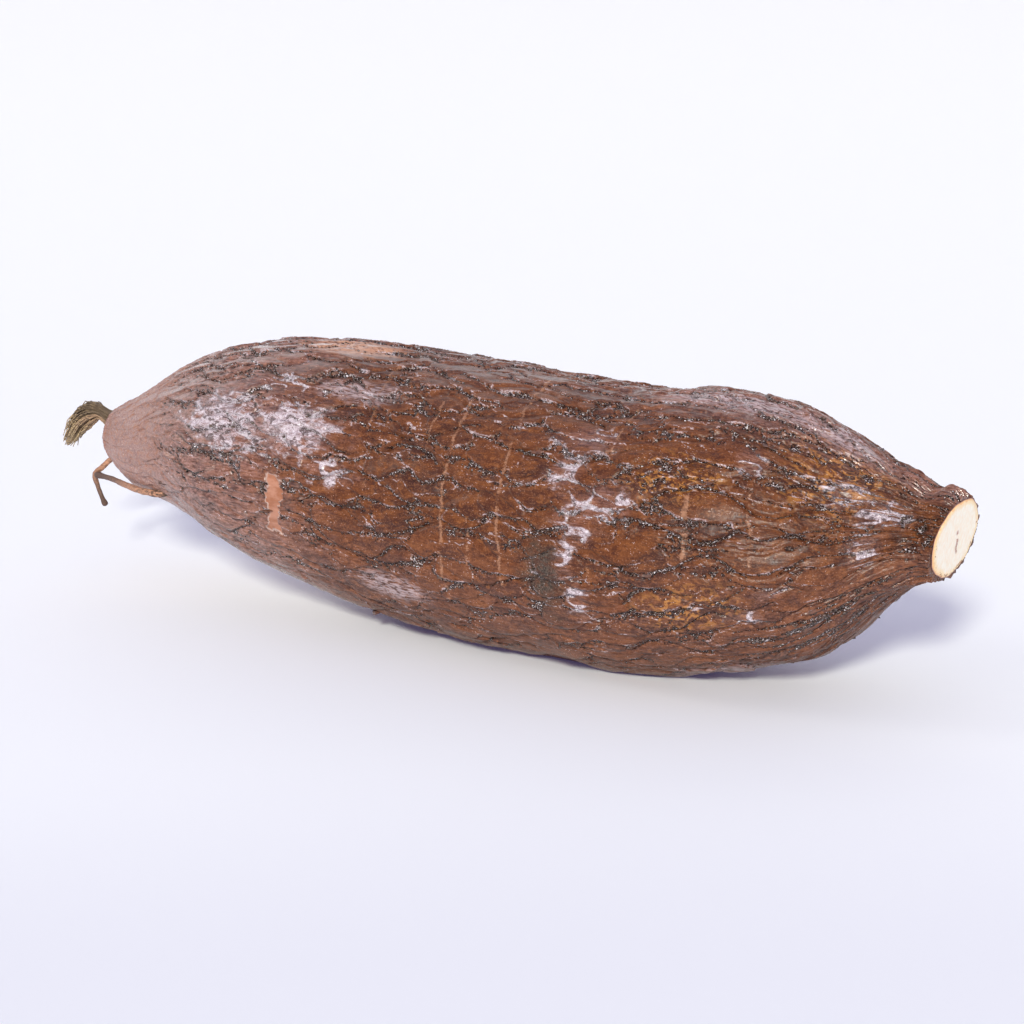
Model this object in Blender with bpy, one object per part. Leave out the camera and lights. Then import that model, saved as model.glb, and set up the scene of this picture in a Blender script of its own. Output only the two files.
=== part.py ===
"""A cassava root with its bark on, cut across at the stem end and lying on a surface.

It grew as one piece, so it is one solid: the swollen body, its net of bark plates, the cut
face, two thin rootlets and the tuft of fibres at the tail. Metres, +Z up. The root runs
along X with the cut at +X, and the origin is the middle of the flat spot that it lies on.
"""

import math
import random

import bmesh
import bpy
import numpy as np

MM = 0.001

# The body's driving dimensions in millimetres: place along the root, radius of the bark's
# mean surface, and how far the section's middle stands sideways and above the surface.
STATIONS = (
    (-145.0, 8.8, 5.8, 42.0),
    (-143.0, 10.0, 5.4, 42.0),
    (-137.0, 13.0, 4.1, 42.0),
    (-126.0, 17.5, 2.0, 43.8),
    (-110.0, 23.4, -0.2, 46.8),
    (-88.0, 31.0, -1.6, 46.0),
    (-62.0, 35.8, 0.1, 43.6),
    (-35.0, 38.5, 2.2, 40.4),
    (-8.0, 39.2, -0.1, 39.4),
    (20.0, 39.1, -3.2, 38.8),
    (45.0, 38.9, -4.3, 38.4),
    (65.0, 37.8, -3.1, 40.2),
    (81.0, 35.1, -2.0, 41.2),
    (94.0, 30.9, -1.6, 41.3),
    (104.0, 25.0, -1.4, 42.6),
    (113.0, 18.4, -1.2, 44.8),
    (121.0, 13.9, -1.0, 46.4),
    (128.0, 11.5, -0.9, 47.0),
    (130.6, 11.2, -0.9, 46.8),
)
TAIL_X = STATIONS[0][0]
CUT_X = STATIONS[-1][0]
SECTIONS = 46
# The tail's blunt end: how far past the last section each ring is, and its share of the radius.
TAIL_DOME = ((2.4, 0.72), (3.8, 0.0))

# The knife went through askew: the cut face leans by these slopes, up and away, and the
# sections turn towards it over the last stretch of the neck.
CUT_LEAN_UP = 0.19
CUT_LEAN_AWAY = 0.13
LEAN_STARTS_X = 106.0

# The bark splits along wavy lines that swing towards and away from each other, so that long
# lens-shaped plates stand between them.
SPLIT_LINES = 26
PLATE_LENGTH = 33.0
SPLIT_SWING = 0.34
SPLIT_JITTER = 0.05
# Rows of the mesh across one plate: share of the way to the next split, height in millimetres.
PLATE_PROFILE = ((0.0, -1.0), (0.2, 0.25), (0.55, 0.5), (0.86, 0.85))
RELIEF_FADES_TAIL = (-140.0, -85.0, 0.3)
RELIEF_FADES_NECK = (95.0, 126.0, 0.5)

# Swellings of the body: place along it, turn about it in degrees, height, length and width.
SWELLINGS = (
    (119.0, 218.0, 1.8, 11.0, 26.0),
    (122.0, 178.0, -1.5, 5.0, 13.0),
    (126.5, 96.0, 1.9, 4.5, 20.0),
    (112.0, 140.0, 0.9, 9.0, 18.0),
    (22.0, 250.0, -1.0, 9.0, 30.0),
    (-14.0, 200.0, 0.7, 16.0, 26.0),
    (58.0, 60.0, 1.1, 18.0, 30.0),
    (-60.0, 20.0, 1.0, 20.0, 32.0),
    (-118.0, 300.0, -0.8, 10.0, 40.0),
)

# The underside is flat where the root's weight rests: half its width, its two ends, and how
# far past them the surface is still eased down towards it, sideways and along the root.
REST_HALF_WIDTH = 6.5
REST_ENDS = (-24.0, 52.0)
REST_EASE_SIDEWAYS = 7.0
REST_EASE_ALONG = 14.0

# Rootlets in millimetres: thickness at the base and tip, sides, and the route from a point
# inside the body outwards.
ROOTLETS = (
    (2.2, 1.5, 6, ((-106, -13, 35), (-113.5, -17.2, 32.2), (-120, -16, 31.5), (-131, -10.8, 31.0),
                   (-143.5, -2.6, 30.0), (-153.6, 2.8, 29.0))),
    (2.0, 1.3, 6, ((-142, 4.5, 38.5), (-148.8, 4.0, 34.0), (-151.8, 3.5, 31.3), (-154.2, 3.0, 29.0),
                   (-153.2, 2.9, 25.4), (-151.4, 2.5, 22.2), (-149.6, 2.0, 19.8))),
)
ROOTLET_POINTS = 11

# The tuft of fibres that the tail ends in: one slim core and strands round it that splay.
TUFT_ROUTE = ((-143, 7, 43), (-150, 7, 45.6), (-155.4, 7, 47.8), (-160.2, 7, 45.4), (-164, 7, 40.5),
              (-167.5, 7, 35))
TUFT_CORE = (3.4, 1.6)
TUFT_STRANDS = 9
TUFT_STRAND = (1.3, 0.8)
TUFT_SPREAD = (0.8, 2.6)
TUFT_POINTS = 7
TUFT_SEED = 4

BARK_COLOUR = (0.21, 0.085, 0.04, 1.0)
BARK_ROUGHNESS = 0.35


def clear_scene():
    for obj in list(bpy.data.objects):
        bpy.data.objects.remove(obj, do_unlink=True)


def smooth_through(at, knots, values):
    """A smooth curve through values at the knots, its slopes taken from the neighbours."""
    knots, values = np.asarray(knots, float), np.asarray(values, float)
    slopes = np.gradient(values, knots)
    k = np.clip(np.searchsorted(knots, at, side="right") - 1, 0, len(knots) - 2)
    width = knots[k + 1] - knots[k]
    t = (at - knots[k]) / width
    return (
        values[k] * (1 + 2 * t) * (1 - t) ** 2
        + slopes[k] * width * t * (1 - t) ** 2
        + values[k + 1] * t * t * (3 - 2 * t)
        + slopes[k + 1] * width * t * t * (t - 1)
    )


def ramp(value, low, high):
    """0 up to low, 1 from high, and smooth between."""
    t = np.clip((value - low) / (high - low), 0.0, 1.0)
    return t * t * (3 - 2 * t)


def split_line(x, n):
    """How many plate widths round the root the bark's n-th split is, at each x."""
    round_root = 2 * math.pi * n / SPLIT_LINES
    waves = x / PLATE_LENGTH * (1 + 0.06 * math.sin(2 * round_root))
    waves = waves + 0.35 * np.sin(x / 41.0 + round_root)
    swing = SPLIT_SWING * (-1) ** n * np.cos(2 * math.pi * waves + 1.3 * math.sin(3 * round_root))
    jitter = SPLIT_JITTER * np.sin(x / 11.0 + 2.4 * n) + SPLIT_JITTER * np.sin(x / 19.0 - 1.7 * n)
    return n + swing * relief_share(x) + jitter * relief_share(x)


def relief_share(x):
    """The plates are bold on the body, and faint where it narrows to the tail and neck."""
    tail_low, tail_high, tail_least = RELIEF_FADES_TAIL
    neck_low, neck_high, neck_least = RELIEF_FADES_NECK
    from_tail = tail_least + (1 - tail_least) * ramp(x, tail_low, tail_high)
    from_neck = 1 - (1 - neck_least) * ramp(x, neck_low, neck_high)
    return from_tail * from_neck


def around_the_root(x):
    """Turns in radians of every mesh row at x, and how high each stands on its plate."""
    lines = [split_line(x, n) for n in range(SPLIT_LINES)]
    lines.append(lines[0] + SPLIT_LINES)
    turns, heights = [], []
    for low, high in zip(lines, lines[1:]):
        fullness = ramp(high - low, 0.1, 1.0)
        for share, height in PLATE_PROFILE:
            turns.append((low + share * (high - low)) * 2 * math.pi / SPLIT_LINES)
            heights.append(height * (0.45 + 0.55 * fullness) * relief_share(x))
    return np.array(turns), np.array(heights)


def swelling(x, turns):
    """Lumps and hollows of the body, and slow unevenness all along it."""
    total = 0.35 * np.sin(2 * turns + x / 23.0) + 0.3 * np.sin(3 * turns - x / 31.0 + 1.0)
    total = total * ramp(x, TAIL_X, TAIL_X + 40.0)
    for place, turn, height, length, width in SWELLINGS:
        off = (turns - math.radians(turn) + math.pi) % (2 * math.pi) - math.pi
        across = (np.degrees(off) / width) ** 2
        total = total + height * np.exp(-(((x - place) / length) ** 2) - across)
    return total


def rest_share(x, turns):
    """1 over the flat spot underneath, where the plates are pressed level, and 0 away from it."""
    radius = smooth_through(x, *station_column(1))
    sideways = np.abs(radius * np.cos(turns))
    below = np.sin(turns) < 0
    start, end = REST_ENDS
    along = ramp(x, start - REST_EASE_ALONG, start) * (1 - ramp(x, end, end + REST_EASE_ALONG))
    across = 1 - ramp(sideways, REST_HALF_WIDTH, REST_HALF_WIDTH + REST_EASE_SIDEWAYS)
    return below * along * across


def station_column(k):
    return [row[0] for row in STATIONS], [row[k] for row in STATIONS]


def section(x):
    """One ring of the body's points in millimetres."""
    turns, plates = around_the_root(x)
    radius, sideways, middle = (smooth_through(x, *station_column(k)) for k in (1, 2, 3))
    pressed = rest_share(x, turns)
    out = radius + (plates + swelling(x, turns)) * (1 - pressed)
    dy, dz = out * np.cos(turns), out * np.sin(turns)
    lean = ramp(x, LEAN_STARTS_X, CUT_X) * (CUT_LEAN_AWAY * dy + CUT_LEAN_UP * dz)
    z = np.maximum(middle + dz, 0.0) * (1 - pressed)
    return np.column_stack([x + lean, sideways + dy, z])


def section_places():
    """Places of the sections, closer together where the body narrows."""
    even = np.linspace(0.0, 1.0, SECTIONS)
    eased = even - 0.055 * np.sin(2 * math.pi * even)
    return TAIL_X + (CUT_X - TAIL_X) * eased


def tail_rings():
    """The rings and the last point that close the tail, from the end inwards."""
    first = section(TAIL_X)
    middle = first.mean(axis=0)
    rings = [middle + (first - middle) * share - (past, 0, 0) for past, share in TAIL_DOME[:-1]]
    return rings[::-1], middle - (TAIL_DOME[-1][0], 0, 0)


def body_object(material):
    """The body: rings of points joined by strips, closed at the tail and by the cut face."""
    rings, tail_point = tail_rings()
    rings += [section(x) for x in section_places()]
    bm = bmesh.new()
    rows = [[bm.verts.new(point * MM) for point in ring] for ring in rings]
    around = len(rows[0])
    for near, far in zip(rows, rows[1:]):
        for j in range(around):
            k = (j + 1) % around
            bm.faces.new((near[j], near[k], far[k], far[j]))
    tail = bm.verts.new(tail_point * MM)
    cut = bm.verts.new(rings[-1].mean(axis=0) * MM)
    for j in range(around):
        k = (j + 1) % around
        bm.faces.new((tail, rows[0][k], rows[0][j]))
        bm.faces.new((cut, rows[-1][j], rows[-1][k]))
    bmesh.ops.triangulate(bm, faces=bm.faces[:], quad_method="SHORT_EDGE")
    bmesh.ops.recalc_face_normals(bm, faces=bm.faces[:])
    mesh = bpy.data.meshes.new("cassava_root")
    bm.to_mesh(mesh)
    bm.free()
    mesh.materials.append(material)
    obj = bpy.data.objects.new("cassava_root", mesh)
    bpy.context.scene.collection.objects.link(obj)
    return obj


def strand_object(name, route, thickness, sides, count, collection):
    """A tapered strand along a smooth route, as a mesh with closed ends."""
    route = np.asarray(route, float)
    steps = np.linalg.norm(np.diff(route, axis=0), axis=1)
    along = np.concatenate([[0.0], np.cumsum(steps)])
    at = np.linspace(0.0, along[-1], count)
    points = np.column_stack([smooth_through(at, along, route[:, k]) for k in range(3)])
    curve = bpy.data.curves.new(name, "CURVE")
    curve.dimensions = "3D"
    curve.bevel_depth = MM / 2
    curve.bevel_resolution = (sides - 4) // 2
    curve.use_fill_caps = True
    spline = curve.splines.new("POLY")
    spline.points.add(count - 1)
    for k, (bead, point) in enumerate(zip(spline.points, points)):
        bead.co = (*(point * MM), 1.0)
        bead.radius = thickness[0] + (thickness[1] - thickness[0]) * k / (count - 1)
    shaped = bpy.data.objects.new(name, curve)
    bpy.context.scene.collection.objects.link(shaped)
    bpy.context.view_layer.update()
    mesh = bpy.data.meshes.new_from_object(shaped.evaluated_get(bpy.context.evaluated_depsgraph_get()))
    bpy.data.objects.remove(shaped, do_unlink=True)
    obj = bpy.data.objects.new(name, mesh)
    collection.objects.link(obj)
    return obj


def add_rootlets(collection):
    for k, (base, tip, sides, route) in enumerate(ROOTLETS):
        strand_object(f"rootlet_{k}", route, (base, tip), sides, ROOTLET_POINTS, collection)


def add_tuft(collection):
    """The core, and strands round it that start inside the tail and splay towards their tips."""
    strand_object("tuft_core", TUFT_ROUTE, TUFT_CORE, 6, TUFT_POINTS, collection)
    draw = random.Random(TUFT_SEED)
    last = len(TUFT_ROUTE) - 1
    for n in range(TUFT_STRANDS):
        turn = 2 * math.pi * n / TUFT_STRANDS
        reach = draw.uniform(0.85, 1.1)
        route = []
        for k, (x, y, z) in enumerate(TUFT_ROUTE):
            spread = TUFT_SPREAD[0] + (TUFT_SPREAD[1] - TUFT_SPREAD[0]) * (k / last) ** 1.5
            spread *= draw.uniform(0.8, 1.2)
            outward = 1 + (reach - 1) * k / last
            anchor = TUFT_ROUTE[0]
            route.append((
                anchor[0] + (x - anchor[0]) * outward + 0.5 * spread * math.cos(turn),
                y + spread * math.cos(turn),
                z + spread * math.sin(turn),
            ))
        strand_object(f"tuft_strand_{n}", route, TUFT_STRAND, 4, TUFT_POINTS, collection)


def fuse(body, collection):
    """Joins everything in the collection to the body as one closed solid."""
    union = body.modifiers.new("rootlets", "BOOLEAN")
    union.operation = "UNION"
    union.operand_type = "COLLECTION"
    union.collection = collection
    bpy.context.view_layer.update()
    fused = bpy.data.meshes.new_from_object(body.evaluated_get(bpy.context.evaluated_depsgraph_get()))
    body.modifiers.clear()
    body.data = fused
    for obj in list(collection.objects):
        bpy.data.objects.remove(obj, do_unlink=True)
    bpy.data.collections.remove(collection)


def bark_material():
    material = bpy.data.materials.new("bark")
    material.use_nodes = True
    shader = material.node_tree.nodes["Principled BSDF"]
    shader.inputs["Base Color"].default_value = BARK_COLOUR
    shader.inputs["Roughness"].default_value = BARK_ROUGHNESS
    shader.inputs["Metallic"].default_value = 0.0
    return material


def main():
    clear_scene()
    body = body_object(bark_material())
    grown = bpy.data.collections.new("rootlets")
    bpy.context.scene.collection.children.link(grown)
    add_rootlets(grown)
    add_tuft(grown)
    fuse(body, grown)


main()
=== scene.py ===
"""The looks of a cassava root: waxed, flaking bark, its cut face, rootlets and fibre tuft.

Lengths are in millimetres until a mesh is made. A place on the root is given by x, along it
towards the cut, and by its turn in degrees: 90 is the top, 180 the side that faces the
camera and 270 underneath. The skin follows the same stations and split lines as the solid.
"""

import itertools
import math
from functools import partial

import bpy
import numpy as np
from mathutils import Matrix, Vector


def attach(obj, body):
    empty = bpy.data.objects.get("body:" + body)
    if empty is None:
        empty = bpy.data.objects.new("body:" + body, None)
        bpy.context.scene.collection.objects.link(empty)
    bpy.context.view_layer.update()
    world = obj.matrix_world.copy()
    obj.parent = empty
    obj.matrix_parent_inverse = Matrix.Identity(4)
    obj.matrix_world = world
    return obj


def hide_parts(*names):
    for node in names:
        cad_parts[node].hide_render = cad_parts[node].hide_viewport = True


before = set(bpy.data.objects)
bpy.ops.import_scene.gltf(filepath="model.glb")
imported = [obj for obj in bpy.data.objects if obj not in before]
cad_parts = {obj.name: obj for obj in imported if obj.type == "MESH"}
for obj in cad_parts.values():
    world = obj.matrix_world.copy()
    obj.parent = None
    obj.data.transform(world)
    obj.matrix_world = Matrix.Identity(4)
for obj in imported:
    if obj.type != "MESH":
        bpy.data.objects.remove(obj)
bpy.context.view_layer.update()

MM = 0.001
NODE = "cassava_root"
SEED = 7

# The camera: degrees round from the side and above the surface, and distance from its aim.
CAMERA_AZIMUTH = 30.5
CAMERA_ELEVATION = 14.0
CAMERA_DISTANCE = 0.850
CAMERA_AIM = (-0.0032, 0.0, 0.0367)
CAMERA_SENSOR = 36.0
CAMERA_LENS = 105.86

# The body as the solid has it: x, radius, and how far its middle is sideways and up.
STATIONS = np.array((
    (-145, 8.8, 5.8, 42),
    (-143, 10, 5.4, 42),
    (-137, 13, 4.1, 42),
    (-126, 17.5, 2, 43.8),
    (-110, 23.4, -0.2, 46.8),
    (-88, 31, -1.6, 46),
    (-62, 35.8, 0.1, 43.6),
    (-35, 38.5, 2.2, 40.4),
    (-8, 39.2, -0.1, 39.4),
    (20, 39.1, -3.2, 38.8),
    (45, 38.9, -4.3, 38.4),
    (65, 37.8, -3.1, 40.2),
    (81, 35.1, -2, 41.2),
    (94, 30.9, -1.6, 41.3),
    (104, 25, -1.4, 42.6),
    (113, 18.4, -1.2, 44.8),
    (121, 13.9, -1, 46.4),
    (128, 11.5, -0.9, 47),
    (130.6, 11.2, -0.9, 46.8),
))
TAIL_X = STATIONS[0, 0]
CUT_X = STATIONS[-1, 0]
TAIL_DOME = 3.8
MEAN_RADIUS = 38.0
CUT_LEAN_UP = 0.19
CUT_LEAN_AWAY = 0.13
LEAN_STARTS_X = 106.0
SPLIT_LINES = 26
PLATE_LENGTH = 33.0
SPLIT_SWING = 0.34
SPLIT_JITTER = 0.05
SPLIT_SPACING = 9.3
SPLIT_HALF_WIDTH = 0.8

# Where the relief fades: from and to which x, and the least share that stays.
RELIEF_FADES_TAIL = (-140.0, -85.0, 0.3)
RELIEF_FADES_NECK = (95.0, 126.0, 0.5)

# Lumps and hollows: x, turn, height, length along the root and width in degrees.
SWELLINGS = (
    (119, 218, 1.8, 11, 26),
    (122, 178, -1.5, 5, 13),
    (126.5, 96, 1.9, 4.5, 20),
    (112, 140, 0.9, 9, 18),
    (22, 250, -1, 9, 30),
    (-14, 200, 0.7, 16, 26),
    (58, 60, 1.1, 18, 30),
    (-60, 20, 1, 20, 32),
    (-118, 300, -0.8, 10, 40),
)

# The flat spot underneath, and how far the bark takes to rise from it.
REST_HALF_WIDTH = 6.5
REST_ENDS = (-24.0, 52.0)
REST_EASE_SIDEWAYS = 7.0
REST_EASE_ALONG = 14.0

# The skin's mesh: rows along the root, columns round it, and the pieces that it is made in.
SKIN_ROWS = 620
SKIN_COLUMNS = 676
SKIN_PIECES = 5
DOME_ROWS = 8
RIM_ROWS = 4
RIM_LAP = 0.5

# Plates of bark that overlap: the size of a cell along the root, how many go round, the range
# of half lengths, half widths and heights, the tilt, the share of cells that have one, and a
# seed. PLATE_EDGE is how far inside its outline a plate ends, CRACK_FLOOR is the height of the
# ground between plates, and FAR_OFF is further than any plate reaches.
PLATE_LAYERS = {
    "small": (6.4, 84, (3.0, 6.5), (1.0, 2.1), (-0.55, -0.15), 0.26, 0.95, 101),
    "large": (14.0, 36, (6.5, 12.0), (2.6, 4.6), (-0.25, 0.3), 0.5, 0.85, 102),
}
PLATE_ROWS_DRAWN = 64
PLATE_EDGE = -0.06
CRACK_FLOOR = -0.62
FAR_OFF = 9.0

# Pale rings that run round the root: x at the start and end turn, those turns, half width,
# and how bold the ring is.
RINGS = (
    (-33.6, -32.2, 104, 146, 0.55, 0.8),
    (-11.4, -11.2, 108, 150, 0.55, 0.9),
    (-3, -1.8, 112, 214, 0.6, 1),
    (6.9, 6.7, 163, 204, 0.6, 0.8),
    (13.8, 18.2, 90, 203, 0.6, 1),
    (46.8, 45.8, 98, 150, 0.55, 0.9),
    (45.6, 46.4, 168, 224, 0.5, 0.6),
    (70.8, 71.9, 147, 182, 0.85, 1.3),
    (85.4, 89.4, 142, 186, 0.6, 0.8),
    (111, 113.2, 150, 222, 0.5, 0.5),
    (-20, -21, 20, 75, 0.55, 0.8),
    (30, 33, -40, 30, 0.6, 0.9),
    (62, 60, 300, 372, 0.6, 0.8),
    (-52, -50, 310, 380, 0.55, 0.7),
)

# Marks on the bark: x, turn, half length along the root and half width in degrees.
BARE_MARKS = ((-60.4, 187, 2.6, 14),)
TAN_MARKS = ((-53, 98, 16, 8.5), (-20, 30, 14, 7), (76, 340, 12, 9))
STAIN_MARKS = ((31.5, 188, 5.6, 15), (-8, 300, 7, 10))
# Pale patches; those along the top are a painted sheen.
PALE_AND_SHEEN_MARKS = (
    (-22, 209.5, 11, 5.5), (70, 255, 12, 8), (0, 350, 12, 7),
    (74, 97, 20, 6.5), (101, 96, 9, 8), (-40, 128, 12, 5),
)
GOLD_MARKS = (
    (66, 145, 11, 10), (104, 128, 12, 24), (72, 200, 12, 10),
    (-40, 40, 18, 12), (95, 20, 14, 18),
)
# Thick wax, laid where glare is painted: its milky colour is partly a painted sheen, and it carries
# painted highlight lines and glints.
WAX_AND_GLARE_MARKS = (
    (-81, 153, 17, 15), (-57, 150, 14, 12), (-64, 129, 11, 4),
    (-42, 165, 9, 5), (38, 131, 8.5, 5.5), (35, 146, 4.5, 8),
    (47, 156, 7.5, 6), (41, 166, 6, 6), (38.5, 180, 3, 9), (42, 197, 3.5, 8),
    (116, 148, 5.5, 13), (108, 137, 5, 10), (113.5, 178, 3.5, 13), (92, 194, 4, 2.6),
    (86, 206, 4.5, 3.2), (84, 133, 4, 5), (-30, 60, 12, 9), (50, 10, 10, 14),
)
GLARE_MARKS = ((-81, 153, 18, 16), (-58, 151, 14, 11))
SMOOTH_MARKS = ((122, 214, 9, 30), (30, 118, 42, 24), (-100, 90, 24, 30))
FAN_MARKS = ((100, 230, 26, 24), (92, 320, 22, 22))
TAIL_FADES = (-124.0, -92.0)

# Dents, and pits with a raised brim: as a mark, and then the depth.
DENTS = (
    (122.5, 95, 4.2, 32, 3), (131, 95, 2.2, 32, 1.7), (113, 94, 4.5, 24, 1.1),
    (108, 205, 6, 10, 0.8),
)
PITS = (
    (121.7, 150, 2, 7, 1.2), (126, 160, 1.6, 9, 1.4), (128.6, 176, 1.3, 9, 1),
    (110, 118, 1.8, 5, 0.8), (92, 118, 2.2, 2.6, 0.8), (40.5, 100, 3, 1.8, 0.5),
)

# The cut face: the flesh stands inside the rim of bark, with brown dots near its edge and a
# streak in its core.
FLESH_RADIUS = 10.75
FLESH_RINGS = 44
FLESH_SPOKES = 200
STREAK_ENDS = (-4.8, 2.4)
STREAK_LEAN = 0.25
STREAK_HALF_WIDTH = 0.5
RIM_DOTS = 34
RIM_DOT_DEPTHS = (0.4, 1.3)
RIM_DOT_SIZES = (0.18, 0.42)
RIM_DOT_TURNS = (300.0, 60.0)

# Rootlets: thickness at base and tip, and the route from inside the body outwards. The tuft
# has a core that is thick at its base and tip as TUFT_CORE says, and fibres that spread round it
# by TUFT_SPREAD and are pinched in by a share at one place along them.
ROOTLETS = (
    ("rootlet_side", 2.2, 1.5, ((-106, -13, 35), (-113.5, -17.2, 32.2), (-120, -16, 31.5),
                                (-131, -10.8, 31.0), (-143.5, -2.6, 30.0), (-153.6, 2.8, 29.0))),
    ("rootlet_end", 2.0, 1.3, ((-142, 4.5, 38.5), (-148.8, 4.0, 34.0), (-151.8, 3.5, 31.3),
                               (-154.2, 3.0, 29.0), (-153.2, 2.9, 25.4), (-151.4, 2.5, 22.2),
                               (-149.6, 2.0, 19.8))),
)
TUBE_SIDEWAYS = (0.13, 0.97, 0.2)
TUFT_ROUTE = ((-143, 7, 43), (-150, 7, 45.9), (-155.4, 7, 48.0), (-160.2, 7, 46.0),
              (-164.2, 7, 41.4), (-167.8, 7, 35.8))
TUFT_CORE = (4.2, 1.8)
TUFT_STEPS = 60
TUFT_FIBRES = 190
TUFT_SPREAD = (2.0, 3.7)
TUFT_PINCH = (0.38, 0.42)
FIBRE_THICKNESS = (0.5, 0.28)
FIBRE_STEPS = 12
FIBRE_SIDES = 5

# Loose flakes, soil crumbs and beads of wax: how many, their sizes, and where they may stand.
FLAKES = 110
FLAKE_STEPS = (7, 5)
FLAKE_HALF_LENGTHS = (1.2, 3.4)
FLAKE_WIDTHS = (0.7, 1.6)
FLAKE_THICKNESS = 0.16
FLAKE_HEIGHTS = (6.0, 70.0)
FLAKES_END_X = 104.0
CRUMBS = 2000
CRUMB_SIZES = (0.16, 0.42)
BEADS = 500
BEAD_SIZES = (0.08, 0.22)
BEADS_END_X = 98.0
GRAINS_LOWEST = 2.0
GRAINS_END_X = CUT_X - 7.0

# The studio: how bright the room is at the horizon and overhead, and the colours of its light.
# Each light has the way towards it, its strength, and how wide it looks in degrees.
ROOM_STRENGTH = (0.34, 0.54)
ROOM_COLOUR = (0.715, 0.70, 1.0, 1.0)
SOFTBOX_COLOUR = (1.0, 0.985, 0.885)
LIGHTS = {
    "left": ((-0.85, -0.3, 0.43), 0.42, 13.0),
    "beside_camera": ((0.33, -0.82, 0.46), 3.35, 9.0),
}
FLOOR_GLOW = (0.5, 0.40, 1.0, 1.0)
FLOOR_GLOW_STRENGTH = 0.07

# Base colours, as the shader takes them.
COLOURS = {
    "purple_brown": (0.055, 0.018, 0.0115), "orange_brown": (0.127, 0.036, 0.009),
    "light_brown": (0.185, 0.058, 0.015), "dark_brown": (0.045, 0.014, 0.009),
    "light_mottle": (0.3, 0.105, 0.028), "dark_mottle": (0.04, 0.013, 0.009),
    "gold": (0.44, 0.185, 0.04), "gold_gaps": (0.03, 0.012, 0.008),
    "dark_streaks": (0.04, 0.014, 0.01),
    "light_specks": (0.28, 0.115, 0.055), "dark_specks": (0.035, 0.013, 0.01),
    "dust_dark": (0.25, 0.13, 0.11), "dust_light": (0.54, 0.34, 0.29),
    "dust_rust": (0.37, 0.16, 0.085), "dust_grey": (0.19, 0.095, 0.085),
    # The film colour is a painted sheen, and the lavender pale colour is partly one.
    "painted_sheen": (0.43, 0.235, 0.2), "tan": (0.5, 0.27, 0.18), "pale_and_sheen": (0.48, 0.38, 0.4),
    "grime_dark": (0.02, 0.016, 0.013), "grime_light": (0.1, 0.076, 0.06),
    # The dark soil colour is partly painted shade in the cracks.
    "soil_and_shade_dark": (0.009, 0.005, 0.0045), "soil_light": (0.15, 0.058, 0.026),
    # The milky wax colour is partly a painted sheen.
    "milky_wax_and_sheen": (0.42, 0.34, 0.38), "wax_gaps": (0.06, 0.032, 0.028),
    # The wax lip and glint colours are painted highlights.
    "painted_highlight_lines": (0.74, 0.66, 0.72), "painted_glints": (0.93, 0.9, 0.96), "ring": (0.36, 0.18, 0.105),
    "scraped_dark": (0.31, 0.115, 0.055), "scraped_light": (0.44, 0.205, 0.13),
    "scraped_edge": (0.58, 0.43, 0.38),
    "flesh": (0.93, 0.8, 0.63), "flesh_fibres": (0.96, 0.91, 0.79),
    "under_rind": (0.93, 0.72, 0.44), "rind": (0.84, 0.5, 0.24), "rind_edge": (0.3, 0.14, 0.13),
    "flesh_dots": (0.36, 0.14, 0.06), "core_streak": (0.42, 0.2, 0.14),
    "rootlet_base": (0.045, 0.02, 0.013), "rootlet_middle": (0.5, 0.25, 0.15),
    "rootlet_tip": (0.11, 0.055, 0.04), "fibre_dark": (0.06, 0.035, 0.02),
    "tuft_top_base": (0.2, 0.14, 0.09), "tuft_top_middle": (0.16, 0.11, 0.065),
    "tuft_top_tip": (0.56, 0.4, 0.22), "tuft_under_base": (0.44, 0.27, 0.17),
    "tuft_under_middle": (0.44, 0.28, 0.17), "tuft_under_tip": (0.5, 0.37, 0.21),
    "flake_dark": (0.06, 0.022, 0.013), "flake_light": (0.17, 0.065, 0.035),
    "soil_crumbs_dark": (0.03, 0.018, 0.013), "soil_crumbs_light": (0.12, 0.07, 0.05),
    "wax_beads_dark": (0.42, 0.38, 0.4), "wax_beads_light": (0.8, 0.78, 0.8),
    "floor_front": (0.8, 0.82, 0.83), "floor": (0.885, 0.91, 0.895), "floor_back": (0.755, 0.765, 0.765),
}

# The roughness of thick wax, as a grey.
GLINT_ROUGHNESS = (0.1, 0.1, 0.1, 1.0)

NOISE_TABLE = 8192
LATTICE_KEYS = np.array((73856093, 19349663, 83492791))


def ramp(value, low, high):
    """0 up to low, 1 from high, and smooth between."""
    t = np.clip((value - low) / (high - low), 0.0, 1.0)
    return t * t * (3 - 2 * t)


def bell(value):
    """1 at 0, and smoothly down to nothing from about 2 on either side."""
    return np.exp(-(value**2))


def smooth_through(at, knots, values):
    """A smooth curve through values at the knots, its slopes taken from the neighbours."""
    slopes = np.gradient(values, knots)
    k = np.clip(np.searchsorted(knots, at, side="right") - 1, 0, len(knots) - 2)
    width = knots[k + 1] - knots[k]
    t = (at - knots[k]) / width
    return (
        values[k] * (1 + 2 * t) * (1 - t) ** 2
        + slopes[k] * width * t * (1 - t) ** 2
        + values[k + 1] * t * t * (3 - 2 * t)
        + slopes[k + 1] * width * t * t * (t - 1)
    )


def station(x, column):
    return smooth_through(x, STATIONS[:, 0], STATIONS[:, column])


def noise(points, seed):
    """Smooth noise from -1 to 1 at points in units of its grain."""
    table = np.random.default_rng(seed).uniform(-1.0, 1.0, NOISE_TABLE)
    cell = np.floor(points).astype(np.int64)
    t = points - cell
    t = t * t * t * (t * (6 * t - 15) + 10)
    total = 0.0
    for corner in itertools.product((0, 1), repeat=3):
        keys = (cell + corner) * LATTICE_KEYS
        index = (keys[..., 0] ^ keys[..., 1] ^ keys[..., 2]) % NOISE_TABLE
        weights = np.where(np.array(corner, bool), t, 1 - t)
        total = total + table[index] * weights[..., 0] * weights[..., 1] * weights[..., 2]
    return total


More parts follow.
